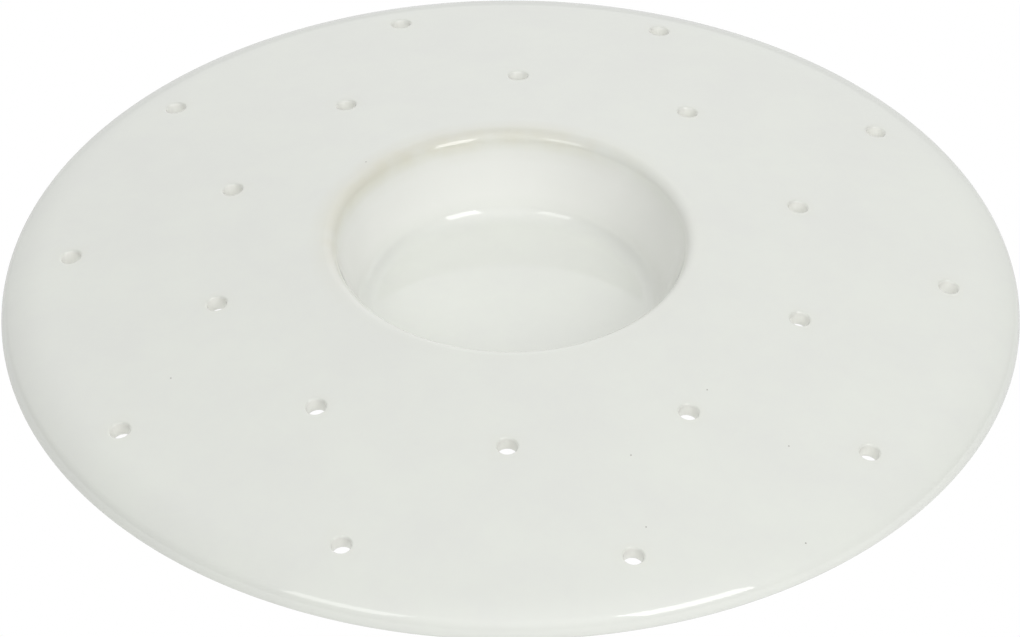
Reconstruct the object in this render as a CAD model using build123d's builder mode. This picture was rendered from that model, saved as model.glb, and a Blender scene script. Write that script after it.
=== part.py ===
from build123d import *
import os
from math import cos, radians, sin, sqrt

# A candle plate: a domed ceramic plate with a deep well for a pillar candle in the
# middle and two rings of small holes. Millimetres. The table is z = 0, the plate's
# axis is Z, and the front of the plate is towards -Y.

# The plate as a whole
plate_diameter = 250.0
wall = 4.2
glaze = 0.35

# The rim: a rolled-over edge that hovers above the table. The roll is one arc that
# leaves the dome smoothly. It is drawn to a point past the rim and trimmed there.
roll_width = 11.0
roll_level = 15.8
roll_overrun = 4.0
roll_drop = 9.2
rim_top_round = 4.2
rim_bottom_round = 1.4

# The dome, from the well's mouth out to the rolled edge
mouth_diameter = 86.9
mouth_level = 28.1
dome_crown = 0.4
lip_round = 3.1
under_lip_round = 5.0

# The well: its wall leans in by this much on its way down to the floor
well_draft = 7.0
well_floor_round = 5.0
base_round = 5.5

# The foot: a dry ring of bare clay under the well's base, set back from its rounding
foot_height = 2.2
foot_setback = 1.2
foot_width = 3.6
foot_edge_round = 0.5
glaze_line_level = 0.7

# The holes, bored square to the dome in two rings: one set in from the rim, one set out
# from the well's mouth
hole_diameter = 4.8
hole_edge_round = 0.6
holes_per_ring = 10
outer_ring_inset = 15.65
inner_ring_reach = 30.55
outer_ring_turn = -21.0
inner_ring_turn = -1.9

# The holes were punched by hand, so each one sits a little off its even place:
# in angle, in degrees, and in distance from the axis, as a share of the ring's radius
outer_slip_angles = (0, 0, 0, 0, -0.5, 0.5, 0, 0, -0.5, 0)
inner_slip_angles = (1.3, 0.4, -0.4, -1.3, 0.4, 0.4, 0, -0.6, -0.4, 0)
outer_slip_shares = (0, 0.003, -0.003, -0.019, 0.003, 0.005, 0.005, 0.003, -0.009, 0.01)
inner_slip_shares = (0, 0.004, 0.005, -0.008, -0.009, 0.002, 0.002, -0.006, -0.003, 0.013)

# How far the section is drawn past the axis that trims it
overrun = 4.0

plate_radius = plate_diameter / 2
roll_radius = plate_radius - roll_width
mouth_radius = mouth_diameter / 2
well_floor_radius = mouth_radius - well_draft
foot_outer_radius = well_floor_radius + wall - base_round - foot_setback
foot_middle_radius = foot_outer_radius - foot_width / 2
base_level = foot_height
well_floor_level = base_level + wall
outer_ring_radius = plate_radius - outer_ring_inset
inner_ring_radius = mouth_radius + inner_ring_reach


# A corner of a section is picked by the place where it was drawn, and rounded
def round_corner(section, x, y, radius):
    fillet(section.vertices().sort_by_distance((x, y))[0], radius)


# The plate's upper line, from a little past the axis to a little past the rim
def draw_upper_line():
    floor_line = Line((-overrun, well_floor_level), (well_floor_radius, well_floor_level))
    well_line = Line(floor_line @ 1, (mouth_radius, mouth_level))
    dome_line = SagittaArc(well_line @ 1, (roll_radius, roll_level), dome_crown)
    roll_end = (plate_radius + roll_overrun, roll_level - roll_drop)
    TangentArc(dome_line @ 1, roll_end, tangent=dome_line % 1)
    return dome_line


# The plate's section, with a wall of even thickness under the upper line, drawn in by
# the inset on every side. It is drawn with sharp corners and then rounded: an outside
# corner loses the inset from its radius, and an inside corner gains it.
def draw_section(inset):
    with BuildSketch(Plane.XZ) as section:
        with BuildLine():
            draw_upper_line()
            if inset:
                offset(
                    amount=inset,
                    side=Side.RIGHT,
                    kind=Kind.INTERSECTION,
                    closed=False,
                    mode=Mode.REPLACE,
                )
            offset(amount=wall - 2 * inset, side=Side.RIGHT, kind=Kind.INTERSECTION)
        make_face()
        with Locations((plate_radius - inset, 0)):
            Rectangle(
                plate_radius, plate_diameter, align=(Align.MIN, Align.CENTER), mode=Mode.SUBTRACT
            )
        round_corner(section, well_floor_radius, well_floor_level, well_floor_round + inset)
        round_corner(section, well_floor_radius + wall, base_level, base_round - inset)
        round_corner(section, mouth_radius, mouth_level, lip_round - inset)
        round_corner(section, mouth_radius + wall, mouth_level - wall, under_lip_round + inset)
        round_corner(section, plate_radius, roll_level, rim_top_round - inset)
        round_corner(section, plate_radius, base_level, rim_bottom_round - inset)
        Rectangle(
            plate_radius, plate_diameter, align=(Align.MIN, Align.CENTER), mode=Mode.INTERSECT
        )
    return section.sketch_local


# The holes' places: on the dome's arc, each square to it
def hole_planes(dome_line, ring_radius, turn, slip_angles, slip_shares):
    centre = dome_line.arc_center
    planes = []
    for i in range(holes_per_ring):
        away = ring_radius * (1 + slip_shares[i % len(slip_shares)])
        azimuth = radians(turn + slip_angles[i % len(slip_angles)] + i * 360 / holes_per_ring)
        up = sqrt(dome_line.radius ** 2 - (away - centre.X) ** 2)
        outward = Vector(sin(azimuth), -cos(azimuth), 0)
        around = Vector(cos(azimuth), sin(azimuth), 0)
        place = outward * away + Vector(0, 0, centre.Y + up)
        square = outward * (away - centre.X) + Vector(0, 0, up)
        planes.append(Plane(place, x_dir=around, z_dir=square))
    return planes


with BuildLine():
    dome = draw_upper_line()

hole_places = hole_planes(
    dome, outer_ring_radius, outer_ring_turn, outer_slip_angles, outer_slip_shares
)
hole_places += hole_planes(
    dome, inner_ring_radius, inner_ring_turn, inner_slip_angles, inner_slip_shares
)


# Holes are bored through the wall, and their edges eased on both faces. The only other
# edges that close on themselves are those that run round the whole plate.
def bore_holes(radius, edge_round):
    with Locations(*hole_places):
        Cylinder(radius, 3 * wall, mode=Mode.SUBTRACT)
    closed_edges = edges().filter_by(lambda edge: edge.is_closed)
    fillet(closed_edges.filter_by(lambda edge: edge.length < mouth_diameter), edge_round)


# The clay plate, with its bare foot ring
with BuildPart() as clay_body:
    with BuildSketch(Plane.XZ) as clay_section:
        add(draw_section(glaze))
        with Locations((foot_middle_radius, 0)):
            Rectangle(foot_width, base_level + wall / 2, align=(Align.CENTER, Align.MIN))
        round_corner(clay_section, foot_outer_radius, 0, foot_edge_round)
        round_corner(clay_section, foot_outer_radius - foot_width, 0, foot_edge_round)
    revolve(axis=Axis.Z)
    bore_holes(hole_diameter / 2 + glaze, hole_edge_round - glaze)

# The outside of the glaze, as a solid plate that reaches down the foot to the glaze line
with BuildPart() as fired_plate:
    with BuildSketch(Plane.XZ):
        add(draw_section(0))
        with Locations((foot_middle_radius, glaze_line_level)):
            Rectangle(
                foot_width + 2 * glaze,
                base_level - glaze_line_level + wall / 2,
                align=(Align.CENTER, Align.MIN),
            )
    revolve(axis=Axis.Z)
    bore_holes(hole_diameter / 2, hole_edge_round)
    add(clay_body.part, mode=Mode.SUBTRACT)

# What the clay leaves of it is the glaze: a small patch on the base, inside the dry
# foot ring, and the coat over the top, round the rim, through the holes and underneath
coats = fired_plate.solids().sort_by(SortBy.VOLUME)

with BuildPart() as base_glaze:
    add(coats[0])

with BuildPart() as glaze_coat:
    add(coats[-1])

clay_body.part.label = "clay_body"
base_glaze.part.label = "base_glaze"
glaze_coat.part.label = "glaze_coat"

os.makedirs("parts", exist_ok=True)
export_step(clay_body.part, "parts/clay_body.step")
export_step(base_glaze.part, "parts/base_glaze.step")
export_step(glaze_coat.part, "parts/glaze_coat.step")

for piece in (clay_body.part, base_glaze.part, glaze_coat.part):
    print(piece.label, "volume", round(piece.volume), "mm3")
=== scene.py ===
# %% [markdown]
# # A glazed candle plate
# The object is a shallow ceramic dome with a deep well in the middle for a pillar candle
# and twenty small holes through the dome. It is one piece of fired clay under a coat of
# glossy white glaze. This notebook loads the plate as a fixed frame, models the glaze coat
# afresh with clean topology, so that its reflections run smoothly, and then gives glaze
# and clay their finish. All lengths are in metres, and the table is at z = 0.

# %% Load the frame
import math

import bmesh
import bpy
from mathutils import Matrix, Vector
from mathutils.geometry import intersect_line_line
from mathutils.kdtree import KDTree


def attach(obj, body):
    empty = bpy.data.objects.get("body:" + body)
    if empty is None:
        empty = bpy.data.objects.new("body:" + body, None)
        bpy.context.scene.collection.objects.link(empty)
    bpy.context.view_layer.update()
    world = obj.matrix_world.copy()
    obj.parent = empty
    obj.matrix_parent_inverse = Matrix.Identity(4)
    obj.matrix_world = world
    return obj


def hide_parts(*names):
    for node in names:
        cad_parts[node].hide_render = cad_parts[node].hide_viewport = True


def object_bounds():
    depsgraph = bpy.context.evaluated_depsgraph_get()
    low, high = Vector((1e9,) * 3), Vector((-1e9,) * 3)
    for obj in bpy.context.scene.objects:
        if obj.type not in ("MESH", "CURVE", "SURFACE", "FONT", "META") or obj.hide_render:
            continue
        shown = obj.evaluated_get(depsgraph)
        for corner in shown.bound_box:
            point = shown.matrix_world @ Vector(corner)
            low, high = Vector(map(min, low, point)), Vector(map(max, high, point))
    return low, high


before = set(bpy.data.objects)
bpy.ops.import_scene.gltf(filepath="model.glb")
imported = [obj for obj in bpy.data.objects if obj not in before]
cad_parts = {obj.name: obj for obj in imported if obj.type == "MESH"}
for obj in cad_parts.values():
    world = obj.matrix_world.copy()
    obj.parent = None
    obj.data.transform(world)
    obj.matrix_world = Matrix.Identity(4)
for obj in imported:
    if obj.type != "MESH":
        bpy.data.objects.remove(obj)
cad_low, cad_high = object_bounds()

MM = 0.001
print("nodes:", sorted(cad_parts))
print("plate:", [round(v / MM, 2) for v in cad_high - cad_low], "mm")

# %% [markdown]
# ## The camera
# The camera stands in front of the plate and looks down at it. A long lens from well
# over a metre away keeps the far rim nearly as wide as the near one. The aim is a
# point close to the middle of the plate, and a camera tracks it by its -Z axis.

# %% Set up the camera
rim_level = 8.75 * MM
camera_distance = 1111.5 * MM
camera_height = 870.4 * MM
aim_left = 0.14 * MM
aim_drop = 6.0 * MM
lens = 202.53

bpy.ops.object.camera_add(location=(0, -camera_distance, rim_level + camera_height))
camera = bpy.context.object
camera.name = "camera"
camera.data.lens = lens
camera.data.sensor_width = 36.0
aim = Vector((-aim_left, 0, rim_level - aim_drop))
camera.rotation_euler = (aim - camera.location).to_track_quat("-Z", "Y").to_euler()
bpy.context.scene.camera = camera
print("camera", round((aim - camera.location).length, 3), "m from its aim")

# %% [markdown]
# ## The section of the plate
# A potter forms such a plate by pressing a turning disc of clay with a template, so the
# whole shape is one outline turned round an axis. The outline is drawn here as a list of
# points in the XZ plane: sharp corners are placed first, and a helper rounds them.

# %% Values of the section
plate_radius = cad_high.x
wall = 4.2 * MM
glaze = 0.35 * MM
floor_level = 6.4 * MM
floor_radius = 36.45 * MM
floor_round = 5.0 * MM
mouth_radius = 43.45 * MM
mouth_level = 28.097 * MM
lip_round = 3.1 * MM
under_lip_round = 5.0 * MM
dome_crown = 0.4 * MM
roll_radius = plate_radius - 11.0 * MM
roll_level = 15.8 * MM
roll_reach = 15.0 * MM
roll_drop = 9.2 * MM
rim_top_round = 4.2 * MM
rim_bottom_round = 1.4 * MM
base_level = 2.2 * MM
base_round = 5.5 * MM
foot_radius = 33.95 * MM
glaze_line = 0.7 * MM

# %% [markdown]
# Each rounded corner is an arc that leaves one line and meets the next without a kink.
# The step between two points of an arc is a fixed angle, and never longer than a limit,
# so tight and wide arcs shade alike. Support points beside the arcs keep flat parts flat.

# %% Helpers for arcs
ARC_STEP = math.radians(8)
ARC_REACH = 1.6 * MM


def place(radius, level):
    return Vector((radius, 0, level))


def arc_count(swing, radius):
    return max(2, round(swing / ARC_STEP), round(swing * radius / ARC_REACH))


def arc(centre, radius, start, end):
    """Points of an arc; the angles are those of its outward normal, from straight up."""
    count = arc_count(abs(end - start), radius)
    angles = [start + (end - start) * i / count for i in range(count + 1)]
    return [centre + radius * place(math.sin(a), math.cos(a)) for a in angles]


def rounded(before, corner, after, radius):
    """Points of the arc that rounds a corner between two straight lines."""
    to_before = (before - corner).normalized()
    to_after = (after - corner).normalized()
    half = to_before.angle(to_after) / 2
    centre = corner + (to_before + to_after).normalized() * radius / math.sin(half)
    first = corner + to_before * radius / math.tan(half) - centre
    last = corner + to_after * radius / math.tan(half) - centre
    swing = first.angle(last)
    count = arc_count(swing, radius)
    points = []
    for i in range(count + 1):
        share = i / count
        mix = first * math.sin((1 - share) * swing) + last * math.sin(share * swing)
        points.append(centre + mix / math.sin(swing))
    return points


def between(start, end, count):
    """Points strictly between two points, evenly spaced."""
    return [start.lerp(end, i / (count + 1)) for i in range(1, count + 1)]


# %% [markdown]
# The dome is very slightly crowned. The rolled edge is an arc that leaves the dome
# smoothly and bends down towards the table, and the underside is the same line a wall
# thickness further in. The level of each point follows from the arcs' shared centre.

# %% Draw the section
dome_start = place(mouth_radius, mouth_level)
dome_end = place(roll_radius, roll_level)
dome_angle = math.atan2(mouth_level - roll_level, roll_radius - mouth_radius)
dome_up = place(math.sin(dome_angle), math.cos(dome_angle))
dome_length = (dome_end - dome_start).length
crown_angle = math.atan(4 * dome_crown / dome_length)


def on_dome(share, depth=0.0):
    """A point of the dome, from the mouth at 0 to the roll at 1, under the surface by depth."""
    bow = dome_crown * 4 * share * (1 - share)
    lean = dome_angle - crown_angle * (1 - 2 * share)
    down = place(math.sin(lean), math.cos(lean))
    return dome_start.lerp(dome_end, share) + dome_up * bow - down * depth


def dome_share(radius):
    return (radius - mouth_radius) / (roll_radius - mouth_radius)


wall_shift = dome_share(mouth_radius + wall * math.sin(dome_angle))
roll_start_angle = dome_angle + crown_angle
roll_chord_angle = math.atan2(roll_drop, roll_reach)
roll_turn = roll_chord_angle - roll_start_angle
roll_bend = math.hypot(roll_drop, roll_reach) / 2 / math.sin(roll_turn)
roll_centre = dome_end - roll_bend * place(math.sin(roll_start_angle), math.cos(roll_start_angle))


def beside_roll(radius, distance):
    """The centre of a rim rounding: at that radius, that far from the roll's centre."""
    out = radius - roll_centre.x
    return place(radius, roll_centre.z + math.sqrt(distance ** 2 - out ** 2))


rim_top = beside_roll(plate_radius - rim_top_round, roll_bend - rim_top_round)
rim_bottom = beside_roll(plate_radius - rim_bottom_round, roll_bend - wall + rim_bottom_round)
rim_top_angle = math.atan2(rim_top.x - roll_centre.x, rim_top.z - roll_centre.z)
rim_bottom_angle = math.atan2(rim_bottom.x - roll_centre.x, rim_bottom.z - roll_centre.z)

floor_centre = place(0, floor_level)
floor_corner = place(floor_radius, floor_level)
lip_corner = place(mouth_radius, mouth_level)
well_out = (lip_corner - floor_corner).cross(Vector((0, 1, 0))).normalized()
well_out = well_out if well_out.x > 0 else -well_out
outer_low = floor_corner + well_out * wall
outer_high = lip_corner + well_out * wall
base_corner = intersect_line_line(outer_low, outer_high, place(0, base_level), place(1, base_level))[0]
near_lip = 0.05
beside_lip = 0.07
under_line = (on_dome(0, wall), on_dome(near_lip, wall))
under_lip = intersect_line_line(outer_low, outer_high, *under_line)[0]

# %% [markdown]
# The rings of points on the dome lie closer together where the holes will go, so that
# each hole is cut out of small faces. Elsewhere a ring every four or five millimetres
# is enough for so gentle a curve.

# %% List the section's points
inner_ring_radius = 74.0 * MM
outer_ring_radius = plate_radius - 15.65 * MM
fine_step = 1.9 * MM
fine_count = 4

fine_rings = []
for ring in (inner_ring_radius, outer_ring_radius):
    fine_rings += [ring + fine_step * i for i in range(-fine_count, fine_count + 1)]
wide_rings = [50 * MM, 54 * MM, 58 * MM, 62 * MM, 85.5 * MM, 89.5 * MM, 93.5 * MM, 97.5 * MM]
dome_rings = sorted(r for r in fine_rings + wide_rings if r < roll_radius - fine_step / 2)

floor_arc = rounded(floor_centre, floor_corner, lip_corner, floor_round)
lip_arc = rounded(floor_corner, lip_corner, on_dome(beside_lip), lip_round)
under_lip_arc = rounded(on_dome(beside_lip, wall), under_lip, base_corner, under_lip_round)
base_arc = rounded(under_lip, base_corner, place(0, base_level), base_round)
support = 0.5 * MM

section = [floor_centre]
section += between(floor_centre, floor_arc[0] - place(support, 0), 5)
section += [floor_arc[0] - place(support, 0)] + floor_arc
section += between(floor_arc[-1], lip_arc[0], 5) + lip_arc
section += [on_dome(dome_share(lip_arc[-1].x + support))]
section += [on_dome(dome_share(radius)) for radius in dome_rings]
section += arc(roll_centre, roll_bend, roll_start_angle, rim_top_angle)
section += arc(rim_top, rim_top_round, rim_top_angle, math.pi / 2)[1:]
section += arc(rim_bottom, rim_bottom_round, math.pi / 2, math.pi + rim_bottom_angle)
section += arc(roll_centre, roll_bend - wall, rim_bottom_angle, roll_start_angle)[1:]
under_dome = [on_dome(dome_share(radius), wall) for radius in reversed(dome_rings)]
section += [point for point in under_dome if point.x > under_lip_arc[0].x + 2 * support]
section += [on_dome(dome_share(under_lip_arc[0].x + support) + wall_shift, wall)] + under_lip_arc
section += between(under_lip_arc[-1], base_arc[0], 3) + base_arc
section += [place(foot_radius + glaze, base_level), place(foot_radius + glaze, glaze_line)]
section += [place(foot_radius, glaze_line)]
print(len(section), "points, overall height", round(max(p.z for p in section) / MM, 3), "mm")

# %% [markdown]
# ## Turning the plate
# A plane is merged into a single vertex, which is extruded from point to point into a
# wire, and Spin turns the wire round the axis. Spin leaves doubles where the turn
# closes and at the middle of the floor, so they are merged.

# %% Turn the section into the glaze coat
turn_steps = 240


def deselect_all():
    bpy.ops.object.select_all(action="DESELECT")


def edit(obj, mode="VERT"):
    """Opens one object in edit mode, with nothing selected."""
    deselect_all()
    obj.select_set(True)
    bpy.context.view_layer.objects.active = obj
    bpy.ops.object.mode_set(mode="EDIT")
    bpy.ops.mesh.select_mode(type=mode)
    bpy.ops.mesh.select_all(action="DESELECT")


deselect_all()
bpy.ops.mesh.primitive_plane_add(size=MM)
coat = bpy.context.object
coat.name = "glaze_surface"
edit(coat)
bpy.ops.mesh.select_all(action="SELECT")
bpy.ops.mesh.merge(type="CENTER")
bpy.ops.transform.translate(value=section[0])
for here, there in zip(section, section[1:]):
    bpy.ops.mesh.extrude_region_move(TRANSFORM_OT_translate={"value": there - here})
bpy.ops.mesh.select_all(action="SELECT")
bpy.ops.mesh.spin(steps=turn_steps, angle=math.tau, center=(0, 0, 0), axis=(0, 0, 1))
bpy.ops.mesh.select_all(action="SELECT")
bpy.ops.mesh.remove_doubles(threshold=0.005 * MM)
bpy.ops.mesh.normals_make_consistent(inside=False)
bpy.ops.object.mode_set(mode="OBJECT")
print("turned:", len(coat.data.vertices), "points,", len(coat.data.polygons), "faces")

# %% [markdown]
# ## The holes
# The holes are punched square to the dome while the clay is soft, and the glaze rounds
# their edges. Each place is found from the ring it belongs to, with the small slips of
# hand work: in angle, and in distance as a share of the ring's radius.

# %% Find the holes' places
hole_radius = 2.4 * MM
hole_edge_round = 0.6 * MM
holes_per_ring = 10
outer_ring_turn = math.radians(-21.0)
inner_ring_turn = math.radians(-1.9)
outer_slip_angles = (0, 0, 0, 0, -0.5, 0.5, 0, 0, -0.5, 0)
inner_slip_angles = (1.3, 0.4, -0.4, -1.3, 0.4, 0.4, 0, -0.6, -0.4, 0)
outer_slip_shares = (0, 0.003, -0.003, -0.019, 0.003, 0.005, 0.005, 0.003, -0.009, 0.01)
inner_slip_shares = (0, 0.004, 0.005, -0.008, -0.009, 0.002, 0.002, -0.006, -0.003, 0.013)


def hole_frames(ring_radius, turn, slip_angles, slip_shares):
    """A matrix for each hole of a ring: its place on the dome, with Z square to the dome."""
    frames = []
    for i in range(holes_per_ring):
        away = ring_radius * (1 + slip_shares[i])
        azimuth = turn + math.radians(slip_angles[i]) + i * math.tau / holes_per_ring
        share = dome_share(away)
        lean = dome_angle - crown_angle * (1 - 2 * share)
        around_axis = Matrix.Rotation(azimuth - math.pi / 2, 4, "Z")
        leaned = Matrix.Rotation(lean, 4, "Y")
        frames.append(around_axis @ Matrix.Translation(on_dome(share)) @ leaned)
    return frames


hole_places = hole_frames(outer_ring_radius, outer_ring_turn, outer_slip_angles, outer_slip_shares)
hole_places += hole_frames(inner_ring_radius, inner_ring_turn, inner_slip_angles, inner_slip_shares)
print(len(hole_places), "holes, the first at", [round(v / MM, 1) for v in hole_places[0].translation])

# %% [markdown]
# One hole is modelled by itself as a short sleeve: a circle extruded ring by ring over
# the rounded top edge, down the bore and out over the rounded bottom edge. Its outermost
# rings lie flat in the dome's two faces, so the rounding stays where it belongs.

# %% Model one sleeve
sleeve_points = 32
sleeve_flat = 0.4 * MM

edge_turns = [math.radians(a) for a in (0, 15, 30, 45, 60, 75, 90)]
edge_rings = []
for a in edge_turns:
    widening = hole_edge_round * (1 - math.sin(a))
    edge_rings.append((hole_radius + widening, hole_edge_round * (1 - math.cos(a))))
sleeve_rings = [(hole_radius + hole_edge_round + sleeve_flat, 0.0)] + edge_rings
sleeve_rings += [(hole_radius, wall * 0.4), (hole_radius, wall * 0.6)]
sleeve_rings += [(radius, wall - depth) for radius, depth in reversed(sleeve_rings[:-2])]

deselect_all()
bpy.ops.mesh.primitive_circle_add(vertices=sleeve_points, radius=sleeve_rings[0][0])
sleeve = bpy.context.object
sleeve.name = "sleeve"
edit(sleeve, "EDGE")
bpy.ops.mesh.select_all(action="SELECT")
for (radius, depth), (next_radius, next_depth) in zip(sleeve_rings, sleeve_rings[1:]):
    down = (0, 0, depth - next_depth)
    bpy.ops.mesh.extrude_region_move(TRANSFORM_OT_translate={"value": down})
    widen = next_radius / radius
    bpy.ops.transform.resize(value=(widen, widen, 1), center_override=(0, 0, -next_depth))
bpy.ops.object.mode_set(mode="OBJECT")
print("sleeve:", len(sleeve.data.polygons), "faces")

# %% [markdown]
# In the coat, a block of faces is deleted round each place, above and below. The faces
# lie in rings and in spokes, so a block is chosen by radius and by azimuth: every face
# that comes nearer to the hole than the clearance goes.

# %% Cut the openings
clearance = 3.8 * MM
face_turn = math.tau / turn_steps

edit(coat, "FACE")
mesh = bmesh.from_edit_mesh(coat.data)
faces = [(face, face.calc_center_median()) for face in mesh.faces]
for hole in hole_places:
    for depth in (0, wall):
        mouth = hole @ Vector((0, 0, -depth))
        radius = mouth.xy.length
        for face, centre in faces:
            if (centre - mouth).length < 3 * clearance and abs((centre - mouth).z) < wall / 2:
                around = math.atan2(centre.y, centre.x) - math.atan2(mouth.y, mouth.x)
                around = abs(math.remainder(around, math.tau)) * radius
                outward = abs(centre.xy.length - radius)
                if around < clearance + face_turn * radius / 2 and outward < clearance + fine_step / 2:
                    face.select_set(True)
bmesh.update_edit_mesh(coat.data)
bpy.ops.mesh.delete(type="FACE")
bpy.ops.object.mode_set(mode="OBJECT")
print("after cutting:", len(coat.data.polygons), "faces")

# %% [markdown]
# The sleeve is copied to all twenty places and bent a little, because the dome falls
# away to both sides of a hole. The copies are joined in, and Bridge Edge Loops closes
# each gap between a square opening in the coat and the round end of a sleeve.

# %% Bridge the sleeves in
deselect_all()
for hole in hole_places:
    copy = sleeve.copy()
    copy.data = sleeve.data.copy()
    sag = math.sin(dome_angle) / hole.translation.xy.length / 2
    for vertex in copy.data.vertices:
        vertex.co.z -= sag * vertex.co.y ** 2
    copy.data.transform(hole)
    bpy.context.collection.objects.link(copy)
    copy.select_set(True)
coat.select_set(True)
bpy.context.view_layer.objects.active = coat
bpy.ops.object.join()
bpy.data.objects.remove(sleeve)

edit(coat, "EDGE")
for hole in hole_places:
    for side in (0, -wall):
        mesh = bmesh.from_edit_mesh(coat.data)
        inverse = hole.inverted()
        bpy.ops.mesh.select_all(action="DESELECT")
        for edge in mesh.edges:
            if edge.is_boundary:
                middle = inverse @ ((edge.verts[0].co + edge.verts[1].co) / 2)
                if middle.xy.length < 3 * clearance and abs(middle.z - side) < wall / 3:
                    edge.select_set(True)
        bmesh.update_edit_mesh(coat.data)
        bpy.ops.mesh.bridge_edge_loops()
bpy.ops.mesh.select_all(action="SELECT")
bpy.ops.mesh.normals_make_consistent(inside=False)
bpy.ops.object.mode_set(mode="OBJECT")
print("with holes:", len(coat.data.polygons), "faces")

# %% [markdown]
# A coat of glaze has a thickness. Solidify gives it one inwards, so the outside stays
# where it is, and its rim closes the coat at the glaze line on the foot.

# %% Give the glaze its thickness
thickness = coat.modifiers.new("coat thickness", "SOLIDIFY")
thickness.thickness = glaze
thickness.offset = -1
thickness.use_even_offset = True
deselect_all()
coat.select_set(True)
bpy.context.view_layer.objects.active = coat
bpy.ops.object.modifier_apply(modifier=thickness.name)
bpy.ops.object.shade_smooth_by_angle(angle=math.radians(50))

check = bmesh.new()
check.from_mesh(coat.data)
loose_edges = sum(1 for edge in check.edges if not edge.is_manifold)
triangles = sum(len(face.verts) - 2 for face in check.faces)
print("glaze coat:", triangles, "triangles,", loose_edges, "open edges")
print("volume of the coat:", round(check.calc_volume() / MM ** 3), "cubic mm")
check.free()

# %% [markdown]
# ## Where the glaze is thin, and where light is painted in
# Glaze melts and draws back from edges, so the warm clay shows through a little on the
# well's lip and round the holes. The well's wall and the holes' bores are painted whiter:
# this is painted light, which lifts the shade in them. Two values from 0 to 1 are stored in
# every point of the coat: how thin the glaze is there, and how much painted light it gets.
# A tree of points finds the ones near each hole.

# %% Store how thin the glaze is, and where light is painted in
thin_lip_drop = 1.2 * MM
thin_lip_reach = 5.5 * MM
thinnest_azimuth = math.radians(128)
least_thin = 0.12
thin_spread = 0.7
thin_hole_reach = 1.8 * MM
thin_hole_share = 0.15
lip_circle = place(mouth_radius, mouth_level - thin_lip_drop)


def fade(distance, reach):
    """Falls smoothly from 1 at no distance to 0 at the reach."""
    share = min(max(distance / reach, 0), 1)
    return (1 - share * share) ** 2


# Painted light in the well: a share that whitens its shaded wall.
def painted_light_in_well(radius, level):
    """Rises from the well's floor to its wall, and falls again to the lip."""
    lean = (mouth_radius - floor_radius) / (mouth_level - floor_level)
    if radius > floor_radius + lean * (level - floor_level) + wall / 2:
        return 0
    over_floor = min(max((level - floor_level) / floor_round, 0), 1)
    under_lip = min(max((mouth_level - level) / (2 * lip_round), 0), 1)
    return over_floor * under_lip


thin_values = []
painted_light_values = []
tree = KDTree(len(coat.data.vertices))
for vertex in coat.data.vertices:
    point = vertex.co
    tree.insert(point, vertex.index)
    from_lip = (place(point.xy.length, point.z) - lip_circle).length
    turned_away = math.cos(math.atan2(point.y, point.x) - thinnest_azimuth)
    round_the_lip = least_thin + (1 - least_thin) * max(turned_away, 0) ** thin_spread
    thin_values.append(fade(from_lip, thin_lip_reach) * round_the_lip)
    painted_light_values.append(painted_light_in_well(point.xy.length, point.z))
tree.balance()

for hole in hole_places:
    inverse = hole.inverted()
    near_points = tree.find_range(hole.translation, 2 * hole_radius + thin_hole_reach)
    for point, index, distance in near_points:
        from_axis = (inverse @ point).xy.length
        from_edge = abs(from_axis - hole_radius - hole_edge_round / 2)
        thin_here = thin_hole_share * fade(from_edge, thin_hole_reach)
        thin_values[index] = max(thin_values[index], thin_here)
        # The bore gets the full painted light, a whiter tone that lifts its shade.
        if from_axis < hole_radius + hole_edge_round / 4:
            painted_light_values[index] = 1

# The second value is painted light for the well's wall and the bores.
for name, values in (("thin glaze", thin_values), ("painted well light", painted_light_values)):
    stored = coat.data.attributes.new(name, "FLOAT", "POINT")
    stored.data.foreach_set("value", values)
    print("points with", name + ":", sum(1 for value in values if value > 0.1))

# %% [markdown]
# ## Materials
# Two helpers keep the node trees short. One adds a node with its values and links, and
# the other starts a node group with named inputs and outputs. Everything is painted in
# object coordinates, so it stays on the piece wherever the piece goes.

# %% Helpers for nodes


def node(tree, kind, inputs, **settings):
    """Adds a node. An input is a value, or a socket of another node to link."""
    made = tree.nodes.new("ShaderNode" + kind)
    for name, value in settings.items():
        setattr(made, name, value)
    for key, value in inputs.items():
        if isinstance(value, bpy.types.NodeSocket):
            tree.links.new(value, made.inputs[key])
        else:
            made.inputs[key].default_value = value
    return made


def group(name, inputs, outputs):
    """Starts a node group and gives its tree, its input node and its output node."""
    tree = bpy.data.node_groups.new(name, "ShaderNodeTree")
    for socket_name, kind in inputs:
        tree.interface.new_socket(socket_name, in_out="INPUT", socket_type="NodeSocket" + kind)
    for socket_name, kind in outputs:
        tree.interface.new_socket(socket_name, in_out="OUTPUT", socket_type="NodeSocket" + kind)
    return tree, tree.nodes.new("NodeGroupInput"), tree.nodes.new("NodeGroupOutput")


def use_group(tree, shared, inputs):
    """Places a node group in a tree with its own values."""
    made = tree.nodes.new("ShaderNodeGroup")
    made.node_tree = shared
    for name, value in inputs.items():
        made.inputs[name].default_value = value
    return made
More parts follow.
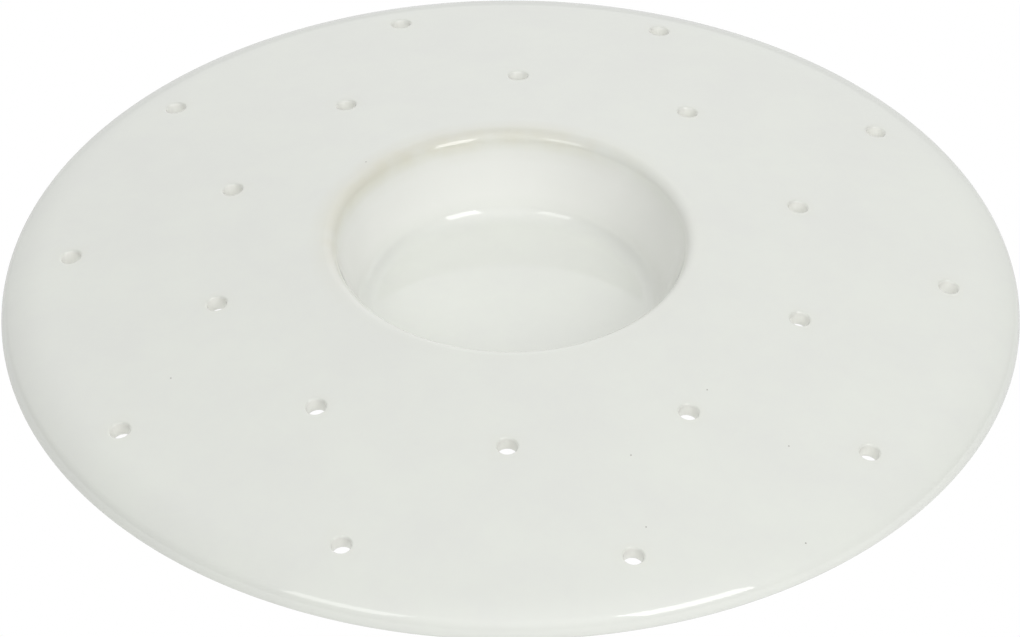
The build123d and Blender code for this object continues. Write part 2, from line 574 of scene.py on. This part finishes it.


# %% [markdown]
# The first group clouds a surface between two colours. One noise makes patches of a few
# centimetres, its finer detail breaks them up, and a second noise is the gentle unevenness
# of the surface itself. Glaze and clay both use it, with their own colours and sizes.

# %% Group: clouded surface
clouded, clouded_in, clouded_out = group(
    "clouded surface",
    [("Colour", "Color"), ("Cloud colour", "Color"), ("Cloud size", "Float"), ("Wave size", "Float")],
    [("Colour", "Color"), ("Height", "Float")],
)
spot = node(clouded, "TexCoord", {}).outputs["Object"]
cloud_scale = node(clouded, "Math", {0: 1.0, 1: clouded_in.outputs["Cloud size"]}, operation="DIVIDE")
clouds = node(clouded, "TexNoise", {
    "Vector": spot, "Scale": cloud_scale.outputs[0], "Detail": 5.0, "Roughness": 0.68,
})
cloud_mask = node(clouded, "MapRange", {
    "Value": clouds.outputs["Fac"], "From Min": 0.36, "From Max": 0.64,
})
blend = node(clouded, "Mix", {
    "Factor": cloud_mask.outputs[0],
    "A": clouded_in.outputs["Colour"],
    "B": clouded_in.outputs["Cloud colour"],
}, data_type="RGBA")
wave_scale = node(clouded, "Math", {0: 1.0, 1: clouded_in.outputs["Wave size"]}, operation="DIVIDE")
waves = node(clouded, "TexNoise", {"Vector": spot, "Scale": wave_scale.outputs[0], "Detail": 3.0})
clouded.links.new(blend.outputs["Result"], clouded_out.inputs["Colour"])
clouded.links.new(waves.outputs["Fac"], clouded_out.inputs["Height"])
print("group:", clouded.name, "with", len(clouded.nodes), "nodes")

# %% [markdown]
# The second group puts the plate's few pinholes where they are: tiny dark specks in the
# glaze, where a bubble burst in the kiln. Each one is a small ball round a place on the
# plate, and a piece of surface inside a ball is dark.

# %% Group: pinholes
pinhole_places = [
    (-35.9, 31.5, 27.4), (25.5, 33.1, 25.3), (28.6, 26.8, 10.0), (42.0, -4.5, 26.0),
    (34.5, 10.5, 5.7), (-23.5, 15.3, 5.7), (-38.2, 5.1, 7.1), (-25.5, -35.6, 27.3),
    (-81.1, -44.7, 19.9), (6.6, 16.5, 5.7), (46.6, -53.8, 23.6), (65.5, -69.5, 19.3),
    (31.4, -97.4, 18.0), (68.5, -98.3, 13.9), (28.2, -76.0, 21.9),
]
pinholes, pinholes_in, pinholes_out = group("pinholes", [("Size", "Float")], [("Mask", "Float")])
spot = node(pinholes, "TexCoord", {}).outputs["Object"]
nearest = None
for pinhole in pinhole_places:
    centre = Vector(pinhole) * MM
    reach = node(pinholes, "VectorMath", {0: spot, 1: centre}, operation="DISTANCE").outputs["Value"]
    if nearest is not None:
        reach = node(pinholes, "Math", {0: reach, 1: nearest}, operation="MINIMUM").outputs[0]
    nearest = reach
share = node(pinholes, "Math", {0: nearest, 1: pinholes_in.outputs["Size"]}, operation="DIVIDE")
speck = node(pinholes, "MapRange", {"Value": share.outputs[0], "From Min": 1.0, "From Max": 0.5})
pinholes.links.new(speck.outputs[0], pinholes_out.inputs["Mask"])
print("group:", pinholes.name, "with", len(pinhole_places), "places")

# %% [markdown]
# White glaze is opaque, slightly green and very smooth. The clouded colour comes first,
# then a whiter tone painted into the well and the bores as painted light, the warm tint
# where the glaze is thin, and the pinholes. A weak bump lets the reflections waver a
# little, as they do in a melted surface.

# %% The glaze
GLAZE_COLOUR = (0.91, 0.934, 0.872, 1)
GLAZE_CLOUD = (0.89, 0.907, 0.858, 1)
THIN_COLOUR = (0.85, 0.84, 0.73, 1)
# Painted light: a whiter tone that lifts the shade in the well and the bores.
PAINTED_LIGHT_COLOUR = (0.96, 0.965, 0.93, 1)
PINHOLE_COLOUR = (0.42, 0.4, 0.36, 1)


def new_material(name, roughness):
    material = bpy.data.materials.new(name)
    material.use_nodes = True
    shader = material.node_tree.nodes["Principled BSDF"]
    shader.inputs["Roughness"].default_value = roughness
    return material, material.node_tree, shader


glaze_material, tree, shader = new_material("white glaze", 0.02)
shader.inputs["IOR"].default_value = 1.62
surface = use_group(tree, clouded, {
    "Colour": GLAZE_COLOUR, "Cloud colour": GLAZE_CLOUD, "Cloud size": 24 * MM, "Wave size": 7 * MM,
})
thin = node(tree, "Attribute", {}, attribute_name="thin glaze", attribute_type="GEOMETRY")
# The painted light whitens the well's wall and the bores.
painted_light_mask = node(tree, "Attribute", {}, attribute_name="painted well light", attribute_type="GEOMETRY")
whitened = node(tree, "Mix", {
    "Factor": painted_light_mask.outputs["Fac"], "A": surface.outputs["Colour"], "B": PAINTED_LIGHT_COLOUR,
}, data_type="RGBA")
spot = node(tree, "TexCoord", {}).outputs["Object"]
ragged = node(tree, "TexNoise", {"Vector": spot, "Scale": 90.0, "Detail": 3.0})
kept = node(tree, "MapRange", {"Value": ragged.outputs["Fac"], "From Min": 0.2, "From Max": 0.6})
warm = node(tree, "Math", {0: thin.outputs["Fac"], 1: kept.outputs[0]}, operation="MULTIPLY")
tinted = node(tree, "Mix", {
    "Factor": warm.outputs[0], "A": whitened.outputs["Result"], "B": THIN_COLOUR,
}, data_type="RGBA")
specks = use_group(tree, pinholes, {"Size": 0.24 * MM})
marked = node(tree, "Mix", {
    "Factor": specks.outputs["Mask"], "A": tinted.outputs["Result"], "B": PINHOLE_COLOUR,
}, data_type="RGBA")
bump = node(tree, "Bump", {"Height": surface.outputs["Height"], "Strength": 1.0, "Distance": 0.02 * MM})
tree.links.new(marked.outputs["Result"], shader.inputs["Base Color"])
tree.links.new(bump.outputs["Normal"], shader.inputs["Normal"])

# %% [markdown]
# The clay under the glaze is a warm cream and matt, and it shows on the standing edge
# of the foot. It uses the same clouded group with a coarser, grainier surface.

# %% The clay, and who wears what
clay_material, tree, shader = new_material("fired clay", 0.85)
surface = use_group(tree, clouded, {
    "Colour": (0.72, 0.62, 0.48, 1), "Cloud colour": (0.62, 0.51, 0.38, 1),
    "Cloud size": 3 * MM, "Wave size": 0.6 * MM,
})
bump = node(tree, "Bump", {"Height": surface.outputs["Height"], "Strength": 1.0, "Distance": 0.15 * MM})
tree.links.new(surface.outputs["Colour"], shader.inputs["Base Color"])
tree.links.new(bump.outputs["Normal"], shader.inputs["Normal"])

wardrobe = {
    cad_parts["clay_body"]: clay_material,
    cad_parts["base_glaze"]: glaze_material,
    coat: glaze_material,
}
for piece, material in wardrobe.items():
    piece.data.materials.clear()
    piece.data.materials.append(material)
    print(piece.name, "wears", material.name)

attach(coat, "root")
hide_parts("glaze_coat")

# %% [markdown]
# ## The studio
# Two small soft boxes stand in front of the plate, to the right and to the left, well
# above it. They make the paired highlights on the rim, the lip and the well's floor. The
# right one is the stronger.

# %% Lights


def softbox(name, azimuth, elevation, distance, width, height, radiance):
    """An area light that faces the plate; azimuth is from the front, towards the right."""
    azimuth = math.radians(azimuth)
    elevation = math.radians(elevation)
    away = Vector((math.sin(azimuth), -math.cos(azimuth), math.tan(elevation))).normalized()
    bpy.ops.object.light_add(type="AREA", location=away * distance)
    light = bpy.context.object
    light.name = name
    light.rotation_euler = (-away).to_track_quat("-Z", "Y").to_euler()
    light.data.shape = "RECTANGLE"
    light.data.size = width
    light.data.size_y = height
    light.data.energy = radiance * math.pi * width * height
    light.visible_camera = False
    return light


boxes = {
    "right softbox": {"azimuth": 37, "elevation": 34, "width": 0.34, "height": 0.40, "radiance": 3.8},
    "left softbox": {"azimuth": -36, "elevation": 40, "width": 0.31, "height": 0.30, "radiance": 2.0},
}
for name, settings in boxes.items():
    light = softbox(name, distance=0.9, **settings)
    print(light.name, round(light.data.energy, 2), "W")

# %% [markdown]
# The plate stands in a white tent that is nearly open at the sides. So the surroundings
# glow most high in front and low behind, and little to both sides, which darkens the
# plate's left and right edges. Each glow has a direction, a sharpness and a brightness:
# it fades with the cosine of the angle from its direction, raised to the sharpness. The
# camera itself sees plain white there.

# %% Surroundings
GLOWS = (
    ("low in front", (0.3, -0.89, 0.34), 2.0, 0.12),
    ("high in front", (0.1, -0.59, 0.8), 4.0, 1.18),
    ("high on the left", (-0.6, 0, 0.8), 4.0, 0.18),
    ("low behind", (0, 0.94, 0.34), 2.0, 1.2),
)

world = bpy.data.worlds.new("tent")
bpy.context.scene.world = world
world.use_nodes = True
sky = world.node_tree
direction = node(sky, "TexCoord", {}).outputs["Generated"]
brightness = 0.0
for glow_name, glow_direction, sharpness, strength in GLOWS:
    cosine = node(sky, "VectorMath", {0: direction, 1: glow_direction}, operation="DOT_PRODUCT")
    facing = node(sky, "Math", {0: cosine.outputs["Value"], 1: 0.0}, operation="MAXIMUM")
    share = node(sky, "Math", {0: facing.outputs[0], 1: sharpness}, operation="POWER")
    inputs = {0: share.outputs[0], 1: strength, 2: brightness}
    glow = node(sky, "Math", inputs, operation="MULTIPLY_ADD")
    glow.label = glow_name
    brightness = glow.outputs[0]
seen = node(sky, "LightPath", {}).outputs["Is Camera Ray"]
shown = node(sky, "Math", {0: brightness, 1: seen}, operation="MAXIMUM")
sky.nodes["Background"].inputs["Color"].default_value = (1, 1, 1, 1)
sky.links.new(shown.outputs[0], sky.nodes["Background"].inputs["Strength"])

# %% [markdown]
# The table is a matt pale board. To the camera it is plain white without a shadow, as in
# a picture cut out on white, and the plate still gets the board's soft bounce from
# below. The board is seen through from its back, so a look from under it shows the foot.

# %% Table
deselect_all()
bpy.ops.mesh.primitive_plane_add(size=12)
table = bpy.context.object
table.name = "table"
table_material, tree, shader = new_material("white table", 0.9)
shader.inputs["Base Color"].default_value = (0.4, 0.4, 0.4, 1)
shader.inputs["Emission Color"].default_value = (1, 1, 1, 1)
shader.inputs["Emission Strength"].default_value = 0.45
white = node(tree, "Emission", {"Strength": 1.0})
clear = node(tree, "BsdfTransparent", {})
seen = node(tree, "LightPath", {}).outputs["Is Camera Ray"]
back = node(tree, "NewGeometry", {}).outputs["Backfacing"]
face = node(tree, "MixShader", {0: seen, 1: shader.outputs["BSDF"], 2: white.outputs["Emission"]})
either = node(tree, "MixShader", {0: back, 1: face.outputs["Shader"], 2: clear.outputs["BSDF"]})
tree.links.new(either.outputs["Shader"], tree.nodes["Material Output"].inputs["Surface"])
table.data.materials.append(table_material)

bpy.context.scene.view_settings.view_transform = "Standard"
